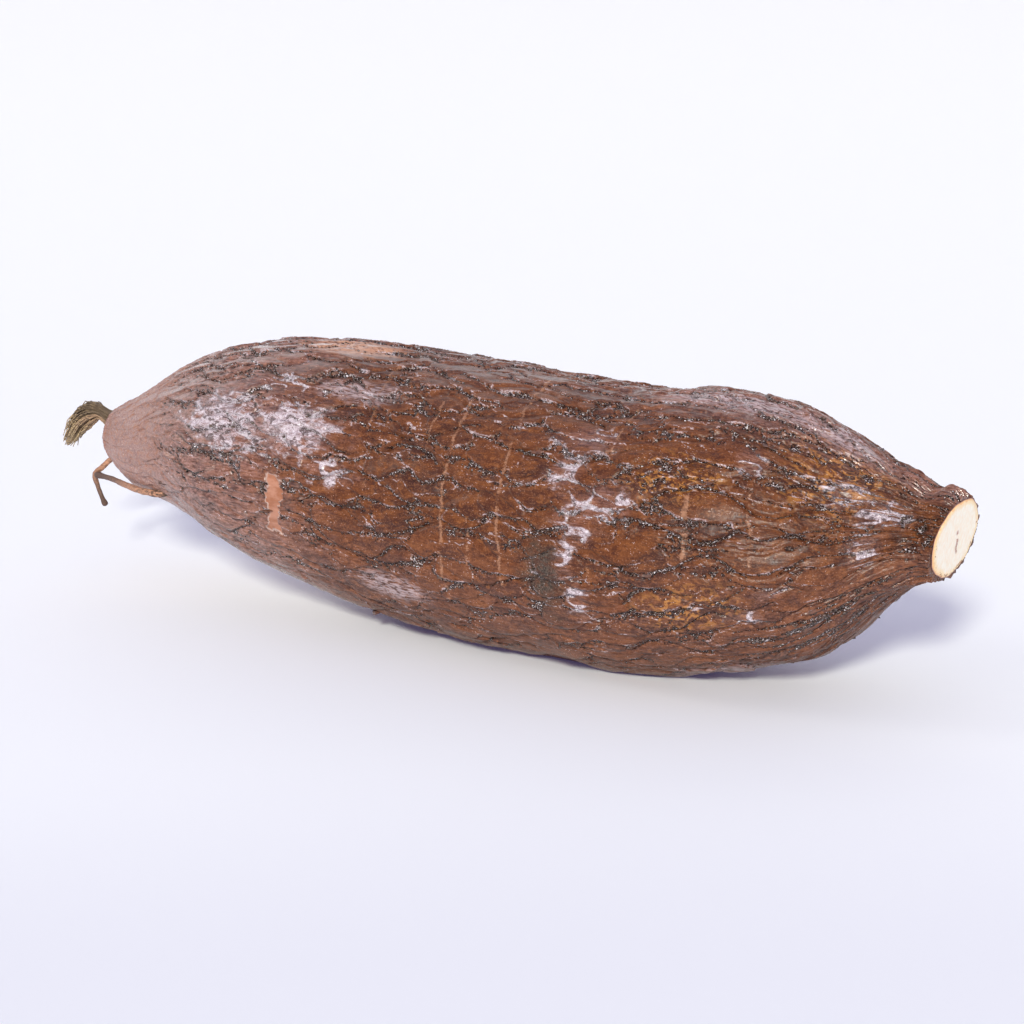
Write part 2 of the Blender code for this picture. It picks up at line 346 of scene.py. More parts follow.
def layered_noise(points, seed, layers):
    """Noise with finer, weaker layers added."""
    total, size = 0.0, 0.0
    for k in range(layers):
        total = total + noise(points * 2.0**k, seed + k) * 0.5**k
        size += 0.5**k
    return total / size


# The body's form, as the solid has it.


def relief_share(x):
    """The plates are bold on the body, and faint where it narrows to the tail and neck."""
    tail_low, tail_high, tail_least = RELIEF_FADES_TAIL
    neck_low, neck_high, neck_least = RELIEF_FADES_NECK
    from_tail = tail_least + (1 - tail_least) * ramp(x, tail_low, tail_high)
    from_neck = 1 - (1 - neck_least) * ramp(x, neck_low, neck_high)
    return from_tail * from_neck


def split_line(x, n):
    """How many plate widths round the root the bark's n-th split is, at each x."""
    round_root = 2 * math.pi * n / SPLIT_LINES
    waves = x / PLATE_LENGTH * (1 + 0.06 * math.sin(2 * round_root))
    waves = waves + 0.35 * np.sin(x / 41.0 + round_root)
    swing = SPLIT_SWING * (-1) ** n * np.cos(2 * math.pi * waves + 1.3 * math.sin(3 * round_root))
    jitter = SPLIT_JITTER * np.sin(x / 11.0 + 2.4 * n) + SPLIT_JITTER * np.sin(x / 19.0 - 1.7 * n)
    return n + swing * relief_share(x) + jitter * relief_share(x)


def turns_round(count):
    """Turns spaced evenly all the way round."""
    return np.arange(count) * 2 * math.pi / count


def turn_off(turns, degrees):
    """How far round from that turn, in degrees, the short way."""
    return (np.degrees(turns) - degrees + 180.0) % 360.0 - 180.0


def swelling(x, turns):
    """Lumps and hollows of the body, and slow unevenness all along it."""
    total = 0.35 * np.sin(2 * turns + x / 23.0) + 0.3 * np.sin(3 * turns - x / 31.0 + 1.0)
    total = total * ramp(x, TAIL_X, TAIL_X + 40.0)
    for place, turn, height, length, width in SWELLINGS:
        across = (turn_off(turns, turn) / width) ** 2
        total = total + height * np.exp(-(((x - place) / length) ** 2) - across)
    return total


def rest_share(x, turns):
    """1 over the flat spot underneath, where the bark is pressed level, and 0 away from it."""
    sideways = np.abs(station(x, 1) * np.cos(turns))
    start, end = REST_ENDS
    along = ramp(x, start - REST_EASE_ALONG, start) * (1 - ramp(x, end, end + REST_EASE_ALONG))
    across = 1 - ramp(sideways, REST_HALF_WIDTH, REST_HALF_WIDTH + REST_EASE_SIDEWAYS)
    return (np.sin(turns) < 0) * along * across


def on_the_body(x, turns, height):
    """Points at that height above the bark's mean surface."""
    pressed = rest_share(x, turns)
    out = station(x, 1) + (height + swelling(x, turns)) * (1 - pressed)
    dy, dz = out * np.cos(turns), out * np.sin(turns)
    lean = ramp(x, LEAN_STARTS_X, CUT_X) * (CUT_LEAN_AWAY * dy + CUT_LEAN_UP * dz)
    hollow = np.maximum(-height, 0.0) * pressed
    z = np.maximum(station(x, 3) + dz, 0.0) * (1 - pressed) + 0.7 * hollow
    return np.stack([x + lean, station(x, 2) + dy, z], axis=-1)


# The bark's relief and marks.


def skin_grid():
    """x and turn at every point of the skin, its rows evenly spaced over the outline."""
    x = np.linspace(TAIL_X, CUT_X, 2000)
    steps = np.hypot(np.diff(x), np.diff(station(x, 1)))
    length = np.concatenate([[0.0], np.cumsum(steps)])
    rows = np.interp(np.linspace(0.0, length[-1], SKIN_ROWS), length, x)
    return np.broadcast_arrays(rows[:, None], turns_round(SKIN_COLUMNS)[None, :])


def net_of_ridges(x, turns):
    """The solid's net of plates, softened: its height, and how near a split is below a lip."""
    here = turns * SPLIT_LINES / (2 * math.pi)
    lines = np.array([split_line(x[:, 0], n) for n in range(-1, SPLIT_LINES + 2)])
    number = (here[None] >= lines[:, :, None]).sum(axis=0) - 1
    rows = np.arange(len(x))[:, None]
    low, high = lines[number, rows], lines[number + 1, rows]
    width = high - low
    share = (here - low) / width
    height = -0.6 + 1.15 * ramp(share, 0.0, 0.22) + 0.4 * ramp(share, 0.22, 0.88)
    height = height - 0.95 * ramp(share, 0.9, 1.0)
    height = height * (0.45 + 0.55 * ramp(width, 0.1, 1.0))
    return height, (number - 1) % SPLIT_LINES, share, width


def off_mark(x, turns, place, turn, half_length, half_width):
    """How far from the middle of a mark, in its half sizes."""
    return np.hypot((x - place) / half_length, turn_off(turns, turn) / half_width)


def marked(x, turns, marks, ragged, edge=0.35):
    """1 inside the marks and 0 outside, with ragged edges."""
    total = np.zeros_like(x)
    for spot in marks:
        away = off_mark(x, turns, *spot)
        total = np.maximum(total, 1 - ramp(away + 0.35 * ragged, 1 - edge, 1 + edge))
    return total


def bare_patch(x, turns, ragged):
    """The scraped patch: an upright band with straight sides and ragged ends."""
    place, turn, half_length, half_width = BARE_MARKS[0]
    off = turn_off(turns, turn)
    across = np.abs(x - place + 0.09 * off) / half_length
    waist = 0.3 * bell((off - 3.0) / 5.0)
    upright = np.abs(off) / half_width + 0.25 * ragged
    return 1 - ramp(np.maximum(across + waist + 0.9 * ragged, upright), 0.84, 1.0)


def ring_marks(x, turns, wobble, breaks):
    """The pale rings, each fading at its ends and broken here and there."""
    total = np.zeros_like(x)
    for x_start, x_end, start, end, half_width, bold in RINGS:
        middle, half = (start + end) / 2, (end - start) / 2
        off = turn_off(turns, middle)
        centre = x_start + (x_end - x_start) * (off + half) / (2 * half) + 0.5 * wobble
        inside = 1 - ramp(np.abs(off), half - 7, half)
        line = bell((x - centre) / half_width)
        total = np.maximum(total, bold * line * inside * breaks)
    return total


def plates(layer, x, turns, warp_along, warp_round, ragged, fewer):
    """Each plate of a layer that may lie at a point: its height, and how far inside its edge.

    The plates are lenses scattered one to a cell of a grid round the root. Their order of
    overlap, size, tilt and slant are drawn at random for each cell.
    """
    cell, count, half_length, half_width, level, tilt, chance, seed = layer
    cell_width = 2 * math.pi * MEAN_RADIUS / count
    u = (x + warp_along) / cell
    v = turns * count / (2 * math.pi) + warp_round / cell_width
    cell_u, cell_v = np.floor(u).astype(int), np.floor(v).astype(int)
    drawn = np.random.default_rng(seed).uniform(size=(PLATE_ROWS_DRAWN, count, 8))
    for step_u, step_v in itertools.product((-1, 0, 1), (-1, 0, 1)):
        lot = drawn[(cell_u + step_u) % PLATE_ROWS_DRAWN, (cell_v + step_v) % count]
        along = (u - cell_u - step_u - 0.1 - 0.8 * lot[..., 0]) * cell
        across = (v - cell_v - step_v - 0.1 - 0.8 * lot[..., 1]) * cell_width
        across = across + along * 0.22 * (lot[..., 2] - 0.5)
        long = half_length[0] + (half_length[1] - half_length[0]) * lot[..., 3]
        wide = half_width[0] + (half_width[1] - half_width[0]) * lot[..., 4]
        out = np.sqrt((np.abs(along) / long) ** 1.7 + (across / wide) ** 2) + 1e-6
        slope = np.hypot(along / long**2, across / wide**2) / out + 1e-6
        inside = (1 + 0.13 * ragged - out) / np.minimum(slope, 1.0)
        top = level[0] + (level[1] - level[0]) * lot[..., 5] + tilt * across / wide
        top = top + 0.16 * (1 - out**2)
        there = lot[..., 6] < chance * (1 - fewer)
        yield np.where(there, inside, -FAR_OFF), top, lot[..., 7]


def bark(x, turns):
    """The bark's height over its mean surface, and the marks that its material reads."""
    around = np.stack([x, MEAN_RADIUS * np.cos(turns), MEAN_RADIUS * np.sin(turns)], axis=-1)

    def grain(along, across, seed, layers=1):
        """Noise over the bark, with grains of that length and width."""
        return layered_noise(around / (along, across, across), seed, layers)

    relief = relief_share(x)
    ragged = grain(3.2, 1.9, 11, 4)
    smooth = marked(x, turns, SMOOTH_MARKS, 0.3 * ragged)
    wax = marked(x, turns, WAX_AND_GLARE_MARKS, 2.4 * ragged, 0.8)
    glare = marked(x, turns, GLARE_MARKS, 1.6 * ragged, 0.8)
    strings = np.maximum(ramp(-np.abs(grain(6, 2.6, 17)), -0.26, -0.05), 0.8 * glare)
    tail = 1 - ramp(x, *TAIL_FADES)
    warp_along = 3.0 * grain(11, 8, 12)
    warp_round = 1.5 * grain(9, 6, 13) + 0.45 * grain(2.4, 2.4, 14)
    crumbs = np.abs(grain(1.3, 0.95, 41)) + 0.6 * grain(0.8, 0.8, 42)
    wrinkles = np.abs(grain(3.4, 1.3, 43)) + 0.5 * np.abs(grain(1.8, 0.9, 44))
    # A painted sheen: towards the tail end, on the low side, along the top and most towards the neck
    # there, over wax, and where glare is painted.
    painted_sheen = ramp(-x + 14 * ragged, 30, 95) + 0.3 * ramp(np.sin(turns + 0.5), -0.35, -0.9)
    along_top = bell(turn_off(turns, 92) / 22)
    painted_sheen = painted_sheen + along_top * (0.45 + 0.6 * ramp(x + 12 * ragged, 30, 75))
    painted_sheen = np.clip(np.maximum(painted_sheen, 0.6 * wax) + 0.5 * glare, 0, 1)
    crumbly = ramp(grain(9, 5, 16), -0.1, 0.5)
    calm = ramp(grain(24, 12, 15) + 0.9 * smooth, -0.3, 0.5)
    fewer = {"small": 0.15 * calm, "large": 0.4 * (1 - calm)}

    def all_plates():
        """Every plate of both layers that may lie at each point."""
        for name, layer in PLATE_LAYERS.items():
            yield from plates(layer, x, turns, warp_along, warp_round, ragged, fewer[name])

    # The crumbly ground, the small plates on it and the large ones on top: the highest shows.
    height = CRACK_FLOOR + 0.5 * crumbs
    tone = np.full_like(x, 0.35)
    plate_edge = np.full_like(x, FAR_OFF)
    for inside, top, lot in all_plates():
        lip = 0.11 * bell((inside - 0.35) / 0.25)
        here = top - 0.9 * (1 - ramp(inside, PLATE_EDGE, 0.3)) + lip
        here = np.where(inside > PLATE_EDGE, here, -FAR_OFF)
        wins = here > height
        height = np.where(wins, here, height)
        tone = np.where(wins, lot, tone)
        plate_edge = np.where(wins, inside, plate_edge)

    # Cracks, painted dark as soil and painted shade: the bare ground, the foot of each plate
    # that stands higher, which is painted shade under its lip, and the splits.
    crack_and_shade = 0.85 * (1 - ramp(height, CRACK_FLOOR, -0.2))
    for inside, top, _ in all_plates():
        over = ramp(top - height, 0.12, 0.5)
        reach = 0.35 + (0.45 + 0.9 * crumbly) * over
        near = np.where(inside < 0.12, np.exp((inside - 0.12) / reach), 0)
        crack_and_shade = np.maximum(crack_and_shade, over * near)
    net, plate, share, width = net_of_ridges(x, turns + 0.9 * warp_round / MEAN_RADIUS)
    line_noise = noise(np.stack([x / 15, 7.31 * plate, 0 * x], axis=-1), 3)
    split = bell(np.minimum(share, 1.15 * (1 - share)) * width * SPLIT_SPACING / SPLIT_HALF_WIDTH)
    split = split * ramp(line_noise, 0, 0.4) * (0.3 + 0.7 * ramp(width, 0, 0.7))
    height = height + 0.52 * net - 0.5 * split
    crack_and_shade = np.maximum(crack_and_shade, 0.95 * split)
    height *= relief

    # Fine ridges fan out towards the neck on the low side.
    fan = marked(x, turns, FAN_MARKS, ragged, 0.7)
    ridges = grain(15, 1, 48) + 0.5 * grain(7, 0.8, 49)
    height += 0.34 * fan * ridges
    # Painted shade darkens the low parts between the ridges.
    crack_and_shade = np.maximum(crack_and_shade, 0.85 * fan * ramp(-ridges, 0.12, 0.5))
    wax = wax * np.maximum(strings, ramp(crack_and_shade, 0.3, 0.7))

    # Crumbs in the cracks and under thick wax, knobs at the neck, ledges along the top,
    # wrinkles all over, and hoops at the tail.
    crack_and_shade = np.clip(crack_and_shade, 0, 1) * (1 - 0.6 * tail)
    height += 0.36 * ramp(crack_and_shade, 0.3, 0.9) * (crumbs - 0.3)
    height += wax * (0.15 * (crumbs - 0.3) + 0.45 * wrinkles)
    ledges = np.abs(grain(9, 2.4, 46)) + 0.5 * np.abs(grain(3, 1.4, 47))
    height += 1.1 * grain(6, 4, 45, 3) * ramp(x, 96, 114)
    height += 1.1 * (ledges - 0.35) * along_top * ramp(x, -30, 60)
    height += 0.06 * grain(6, 1.2, 51, 3) * (1 - 0.6 * smooth)
    height += 0.09 * grain(2.2, 1.8, 52, 3)
    height += 0.16 * grain(1.7, 12, 61, 2) * tail

    # The rings stand a little proud, the scraped patch is sunk, and dents and pits go deeper.
    breaks = ramp(grain(6, 1.8, 71), -0.5, 0.1)
    ring = ring_marks(x, turns, 1.6 * grain(40, 5, 75, 3), 0.2 + 0.8 * breaks)
    height = height * (1 - 0.3 * np.minimum(ring, 1)) + 0.2 * ring
    bare = bare_patch(x, turns, ragged)
    height = height * (1 - bare) - 0.45 * bare
    for *spot, depth in DENTS:
        height -= depth * bell(off_mark(x, turns, *spot))
    for *spot, depth in PITS:
        away = off_mark(x, turns, *spot)
        height = height - depth * bell(away) + 0.5 * depth * bell((away - 1.5) / 0.4)
        # The pits are painted dark: painted shade.
        crack_and_shade = np.maximum(crack_and_shade, bell(away))
    marks = {
        "crack_and_shade": crack_and_shade * (1 - bare),
        "rim": bell(np.maximum(plate_edge, 0) / 0.8) * (1 - bare) * relief,
        "tone": tone,
        "ring": ring,
        "bare": bare,
        "tan": marked(x, turns, TAN_MARKS, ragged),
        "stain": marked(x, turns, STAIN_MARKS, 2.2 * ragged, 0.7),
        "pale_and_sheen": marked(x, turns, PALE_AND_SHEEN_MARKS, 1.4 * ragged, 0.6),
        "gold": marked(x, turns, GOLD_MARKS, ragged, 0.6),
        "wax": wax,
        "tail": tail,
        "painted_sheen": painted_sheen,
    }
    return height, marks


# Meshes.


def add_object(name, data):
    """An object in the scene that shows a mesh, a light or a camera."""
    made = bpy.data.objects.new(name, data)
    bpy.context.scene.collection.objects.link(made)
    return made


def mesh_piece(name, points, faces, material, marks=None, normals=None):
    """A smooth mesh from points in millimetres, riding on the root and standing for it."""
    mesh = bpy.data.meshes.new(name)
    mesh.from_pydata((points * MM).tolist(), [], faces)
    mesh.materials.append(material)
    for mark, values in (marks or {}).items():
        attribute = mesh.attributes.new(mark, "FLOAT", "POINT")
        attribute.data.foreach_set("value", values.astype(np.float32).ravel())
    mesh.shade_smooth()
    if normals is not None:
        mesh.normals_split_custom_set_from_vertices(normals.tolist())
    piece = add_object(name, mesh)
    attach(piece, "root")
    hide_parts(NODE)
    return piece


def strip_faces(rows, around):
    """The faces of a grid that closes round, its rows one after another."""
    here = np.arange(rows - 1)[:, None] * around + np.arange(around)[None, :]
    beside = np.arange(rows - 1)[:, None] * around + (np.arange(around)[None, :] + 1) % around
    return np.stack([here, beside, beside + around, here + around], axis=-1).reshape(-1, 4).tolist()


def unit(vectors):
    """Vectors in the same directions, each one long."""
    return vectors / np.maximum(np.linalg.norm(vectors, axis=-1, keepdims=True), 1e-9)


def grid_normals(points):
    """Outward normals of a grid of rows that close round."""
    along = np.gradient(points, axis=0)
    around = np.roll(points, -1, axis=1) - np.roll(points, 1, axis=1)
    return unit(np.cross(around, along))


def closed_tail(points, marks):
    """The grid with rows before it that round the tail off, out to almost a point."""
    first = points[0]
    middle = first.mean(axis=0)
    angles = np.linspace(math.radians(88), math.radians(10), DOME_ROWS)
    rows = [middle + (first - middle) * math.cos(a) - (TAIL_DOME * math.sin(a), 0, 0) for a in angles]
    points = np.concatenate([np.array(rows), points])
    marks = {m: np.concatenate([np.repeat(v[:1], DOME_ROWS, 0), v]) for m, v in marks.items()}
    return points, marks


def flesh_outline(turns):
    """The radius of the cut flesh, a slightly uneven round."""
    outline = FLESH_RADIUS + 0.28 * np.sin(2 * turns + 0.6) + 0.2 * np.sin(3 * turns - 0.8)
    return outline + 0.12 * np.sin(7 * turns) + 0.06 * np.sin(17 * turns + 1.0)


def on_the_cut(dy, dz, proud):
    """Points on the leaning plane of the cut, or proud of it."""
    x = CUT_X + CUT_LEAN_AWAY * dy + CUT_LEAN_UP * dz + proud
    return np.stack([x, station(CUT_X, 2) + dy, station(CUT_X, 3) + dz], axis=-1)


def rimmed_cut(points, marks):
    """The grid with rows after it that turn inwards over the cut bark, to under the flesh."""
    last = points[-1]
    turns = turns_round(SKIN_COLUMNS)
    radius = flesh_outline(turns) - RIM_LAP
    inner = on_the_cut(radius * np.cos(turns), radius * np.sin(turns), -0.2)
    rows = [last + (inner - last) * k / RIM_ROWS for k in range(1, RIM_ROWS + 1)]
    points = np.concatenate([points, np.array(rows)])
    marks = {m: np.concatenate([v, np.repeat(v[-1:], RIM_ROWS, 0)]) for m, v in marks.items()}
    return points, marks


def add_skin(material):
    """The bark, in pieces that share their edge rows and their normals."""
    x, turns = skin_grid()
    height, marks = bark(x, turns)
    body_points = on_the_body(x, turns, height)
    points, all_marks = rimmed_cut(*closed_tail(body_points, marks))
    normals = grid_normals(points)
    rows, around = points.shape[:2]
    edges = np.linspace(0, rows - 1, SKIN_PIECES + 1).astype(int)
    for k, (start, end) in enumerate(zip(edges, edges[1:])):
        part = slice(start, end + 1)
        mesh_piece(
            f"bark_{k + 1}",
            points[part].reshape(-1, 3),
            strip_faces(end + 1 - start, around),
            material,
            {mark: values[part] for mark, values in all_marks.items()},
            normals[part].reshape(-1, 3),
        )
    return body_points, grid_normals(body_points), marks


def add_flesh(material, draw):
    """The cut face: flesh with faint knife marks, brown dots by its rim and a core streak."""
    spokes = turns_round(FLESH_SPOKES)
    outline = flesh_outline(spokes)
    shares = 1 - (np.arange(FLESH_RINGS) / FLESH_RINGS) ** 1.3
    out = shares[:, None] * outline[None, :]
    dy, dz = out * np.cos(spokes), out * np.sin(spokes)
    edge = outline[None, :] - out
    at = np.stack([dy, dz, 0 * dy], axis=-1)
    knife_marks = 0.05 * layered_noise(at / (3.0, 0.7, 1.0), 81, 3) * ramp(edge, 0, 1)
    points = on_the_cut(dy, dz, 0.35 * ramp(edge, 0.0, 0.7) + knife_marks)
    bottom, top = STREAK_ENDS
    off_streak = np.abs(dy - STREAK_LEAN * (top - dz) + 0.2 * np.sin(dz * 1.7))
    streak = ramp(dz, bottom, bottom + 0.8) * (1 - ramp(dz, top - 0.8, top))
    streak = streak * (1 - ramp(off_streak, STREAK_HALF_WIDTH * 0.5, STREAK_HALF_WIDTH * 1.5))
    streak = streak * ramp(noise(np.stack([dz / 0.7, 0 * dz, 0 * dz], axis=-1), 85), -0.7, -0.3)
    dots = np.zeros_like(dy)
    for _ in range(RIM_DOTS):
        turn = draw.normal(*np.radians(RIM_DOT_TURNS))
        depth, size = draw.uniform(*RIM_DOT_DEPTHS), draw.uniform(*RIM_DOT_SIZES)
        along = (np.angle(np.exp(1j * (spokes - turn))) * FLESH_RADIUS)[None, :]
        dots = np.maximum(dots, np.exp(-((edge - depth) / size) ** 2 - (along / size) ** 2))
    faces = strip_faces(FLESH_RINGS, FLESH_SPOKES)
    centre = FLESH_RINGS * FLESH_SPOKES
    inner = centre - FLESH_SPOKES
    faces += [[inner + k, inner + (k + 1) % FLESH_SPOKES, centre] for k in range(FLESH_SPOKES)]
    middle = on_the_cut(0.0, 0.0, 0.35)
    marks = {
        "edge": np.append(edge.ravel(), FLESH_RADIUS),
        "streak": np.append(streak.ravel(), streak[-1].mean()),
        "dots": np.append(dots.ravel(), 0.0),
    }
    mesh_piece("cut_flesh", np.vstack([points.reshape(-1, 3), [middle]]), faces, material, marks)


def smooth_route(route, count):
    """Points evenly spaced on a smooth curve through the route."""
    route = np.asarray(route, float)
    along = np.concatenate([[0.0], np.cumsum(np.linalg.norm(np.diff(route, axis=0), axis=1))])
    at = np.linspace(0.0, along[-1], count)
    return np.column_stack([smooth_through(at, along, route[:, k]) for k in range(3)])


def tube(route, radii, sides):
    """Rings of points round a route, and the faces between them and over both ends."""
    forward = unit(np.gradient(route, axis=0))
    side = unit(np.cross(forward, TUBE_SIDEWAYS))
    up = np.cross(forward, side)
    turn = turns_round(sides)
    radii = np.broadcast_to(radii, (len(route), sides))
    spokes = np.cos(turn)[None, :, None] * side[:, None] + np.sin(turn)[None, :, None] * up[:, None]
    points = route[:, None] + radii[..., None] * spokes
    faces = strip_faces(len(route), sides)
    last = (len(route) - 1) * sides
    faces += [list(range(sides))[::-1], [last + k for k in range(sides)]]
    return points.reshape(-1, 3), faces


def joined(shapes):
    """Several shapes' points and faces as one."""
    points, faces, count = [], [], 0
    for shape_points, shape_faces in shapes:
        points.append(shape_points)
        faces += [[count + k for k in face] for face in shape_faces]
        count += len(shape_points)
    return np.vstack(points), faces


def add_rootlets(material):
    """Two thin rootlets: knotty, wrinkled tubes."""
    count, sides = 90, 14
    share = np.linspace(0, 1, count)[:, None]
    turn = turns_round(sides)
    at = np.stack(np.broadcast_arrays(share * 22, np.cos(turn) * 1.2, np.sin(turn) * 1.2), axis=-1)
    for seed, (name, base, tip, route) in enumerate(ROOTLETS):
        knots = 1 + 0.2 * layered_noise(at, 90 + seed, 3) + 0.35 * bell((share - 0.06) / 0.09)
        thick = (base + (tip - base) * share) / 2 * knots
        thick = thick * (1 + 0.35 * bell((share - 0.97) / 0.05))
        thick[-1] *= 0.5
        points, faces = tube(smooth_route(route, count), thick, sides)
        mesh_piece(name, points, faces, material, {"along": np.repeat(share, sides)})


def add_tuft(top_material, under_material, draw):
    """The dry tuft: a grooved core, and fibres round it in two clumps, darker on top."""
    sides = 24
    middle = smooth_route(TUFT_ROUTE, TUFT_STEPS)
    share = np.linspace(0, 1, TUFT_STEPS)[:, None]
    turn = turns_round(sides)
    grooves = 1 + 0.16 * np.sin(6 * turn + 3 * share) + 0.1 * np.sin(11 * turn - 5 * share)
    thick = (TUFT_CORE[0] + (TUFT_CORE[1] - TUFT_CORE[0]) * share) / 2 * grooves
    thick[-4:] *= np.array([0.9, 0.7, 0.45, 0.15])[:, None]
    points, faces = tube(middle, thick, sides)
    mesh_piece("tuft_core", points, faces, top_material, {"along": np.repeat(share, sides)})

    sideways = np.array((0.0, 1.0, 0.0))
    outwards = np.cross(unit(np.gradient(middle, axis=0)), sideways)
    outwards *= np.sign(outwards[:, 2:3])
    radii = np.linspace(*FIBRE_THICKNESS, FIBRE_STEPS)[:, None] / 2
    pinch_at, pinch = TUFT_PINCH
    last = TUFT_STEPS - 1
    fibres = {"tuft_top": [], "tuft_under": []}
    for _ in range(TUFT_FIBRES):
        angle, reach = draw.uniform(0, 2 * math.pi), draw.uniform(0.6, 1.0)
        steps = np.linspace(0, reach, FIBRE_STEPS)
        at = np.clip((steps * last).astype(int), 0, last)
        spread = TUFT_SPREAD[0] + (TUFT_SPREAD[1] - TUFT_SPREAD[0]) * np.sin(2.6 * steps) ** 2
        spread = spread * (1 - pinch * bell((steps - pinch_at) / 0.07))
        spread = spread * draw.uniform(0.5, 1.1) * (1 + 0.13 * draw.normal(size=FIBRE_STEPS))
        turns = angle + 0.7 * steps * draw.uniform(-1, 1)
        path = middle[at] + sideways * (spread * np.cos(turns))[:, None]
        path = path + outwards[at] * (0.85 * spread * np.sin(turns))[:, None]
        side = "tuft_under" if math.sin(angle) < -0.35 else "tuft_top"
        fibres[side].append((*tube(path, radii, FIBRE_SIDES), np.repeat(steps, FIBRE_SIDES)))
    for name, look in (("tuft_top", top_material), ("tuft_under", under_material)):
        points, faces = joined([fibre[:2] for fibre in fibres[name]])
        along = np.concatenate([fibre[2] for fibre in fibres[name]])
        mesh_piece(name, points, faces, look, {"along": along})


def scattered(weights, count, draw):
    """Row and column of points drawn at random where the weights are high."""
    chances = weights.ravel() / weights.sum()
    return np.unravel_index(draw.choice(weights.size, count, replace=False, p=chances), weights.shape)


def sheet_faces(rows, columns):
    """The faces of a thin sheet: its top, its underside, whose points come after, and its edge."""
    grid = np.arange(rows * columns).reshape(rows, columns)
    top = np.stack([grid[:-1, :-1], grid[1:, :-1], grid[1:, 1:], grid[:-1, 1:]], axis=-1)
    top = top.reshape(-1, 4).tolist()
    under = [[k + grid.size for k in face[::-1]] for face in top]
    edge = np.concatenate([grid[0], grid[1:, -1], grid[-1, -2::-1], grid[-2:0:-1, 0]]).tolist()
    sides = [[a, b, b + grid.size, a + grid.size] for a, b in zip(edge, edge[1:] + edge[:1])]
    return top + under + sides


def add_flakes(points, normals, marks, material, draw):
    """Small curled scales of bark that stand off the lips of the plates."""
    x, z = points[..., 0], points[..., 2]
    lowest, highest = FLAKE_HEIGHTS
    calm = 1 - np.clip(marks["bare"] + marks["tail"], 0, 1)
    weights = ramp(marks["crack_and_shade"], 0.5, 1.0) * calm * (z > lowest) * (z < highest) * (x < FLAKES_END_X)
    rows, columns = FLAKE_STEPS
    u, v = np.meshgrid(np.linspace(-1, 1, rows), np.linspace(0, 1, columns), indexing="ij")
    faces = sheet_faces(rows, columns)
    shapes = []
    for row, column in zip(*scattered(weights, FLAKES, draw)):
        place, normal = points[row, column], Vector(normals[row, column])
        forward = Vector((1.0, draw.normal(0, 0.1), draw.normal(0, 0.1)))
        forward = np.array((forward - normal * forward.dot(normal)).normalized())
        normal = np.array(normal)
        forward = forward * (1 if np.cross(normal, forward)[2] < 0 else -1)
        down = np.cross(normal, forward)
        half_length, width = draw.uniform(*FLAKE_HALF_LENGTHS), draw.uniform(*FLAKE_WIDTHS)
        lift, curl = draw.uniform(0.1, 0.45), draw.uniform(0.0, 0.35)
        outline = np.sqrt(np.clip(1 - u**2, 0.03, 1)) * (1 + 0.2 * draw.normal(size=u.shape) * (v > 0.9))
        reach = (v - 0.35) * width * outline
        rise = lift * v * width + curl * (v**2) * width - 0.25 * u**2 * half_length * 0.2 - 0.12
        top = place + (u * half_length)[..., None] * forward + reach[..., None] * down
        top = (top + rise[..., None] * normal).reshape(-1, 3)
        shapes.append((np.vstack([top, top - FLAKE_THICKNESS * normal]), faces))
    all_points, all_faces = joined(shapes)
    all_points[:, 2] = np.maximum(all_points[:, 2], 0.3)
    mesh_piece("bark_flakes", all_points, all_faces, material)


def grain_shape():
    """A rough ball of twenty faces."""
    golden = (1 + math.sqrt(5)) / 2
    corners = []
    for a, b in itertools.product((-1, 1), (-golden, golden)):
        corners += [(a, b, 0), (0, a, b), (b, 0, a)]
    corners = np.array(corners, float) / math.hypot(1, golden)
    faces = [
        list(face)
        for face in itertools.combinations(range(12), 3)
        if all(np.linalg.norm(corners[i] - corners[j]) < 1.1 for i, j in itertools.combinations(face, 2))
    ]
    for face in faces:
        a, b, c = corners[face]
        if np.dot(np.cross(b - a, c - a), a) < 0:
            face.reverse()
    return corners, faces


def add_grains(points, normals, name, weights, count, sizes, material, draw):
    """Crumbs that sit in the cracks, or beads of wax on them."""
    corners, faces = grain_shape()
    shapes = []
    weights = weights * (points[..., 2] > GRAINS_LOWEST) * (points[..., 0] < GRAINS_END_X)
    for row, column in zip(*scattered(weights, count, draw)):
        place, normal = points[row, column], normals[row, column]
        radius = draw.uniform(*sizes)
        stretch = np.array((draw.uniform(0.9, 2.2), draw.uniform(0.7, 1.2), draw.uniform(0.7, 1.2)))
        lumps = 1 + 0.22 * draw.normal(size=(len(corners), 1))
        shapes.append((place + 0.25 * radius * normal + corners * lumps * radius * stretch, faces))
    mesh_piece(name, *joined(shapes), material)


# Materials.


def new_material(name):
    material = bpy.data.materials.new(name)
    material.use_nodes = True
    return material, material.node_tree, material.node_tree.nodes["Principled BSDF"]


def plug(socket, value):
    """Join an output to a socket, or set the socket to a value."""
    if isinstance(value, bpy.types.NodeSocket):
        value.id_data.links.new(value, socket)
    else:
        socket.default_value = value


def put(made, **inputs):
    """Plug a node's inputs, whose names have _ for a space."""
    for name, value in inputs.items():
        plug(made.inputs[name.replace("_", " ")], value)
    return made


def node(tree, kind, settings=None, **inputs):
    """A new node, with its settings and its inputs."""
    made = tree.nodes.new(kind)
    for name, value in (settings or {}).items():
        setattr(made, name, value)
    return put(made, **inputs)


def mark(tree, name):
    """A mark that the mesh carries."""
    return node(tree, "ShaderNodeAttribute", {"attribute_name": name}).outputs["Fac"]


def maths(operation, a, b=0):
    made = node(a.id_data, "ShaderNodeMath", {"operation": operation})
    plug(made.inputs[0], a)
    plug(made.inputs[1], b)
    return made.outputs[0]


times = partial(maths, "MULTIPLY")
plus = partial(maths, "ADD")
most = partial(maths, "MAXIMUM")


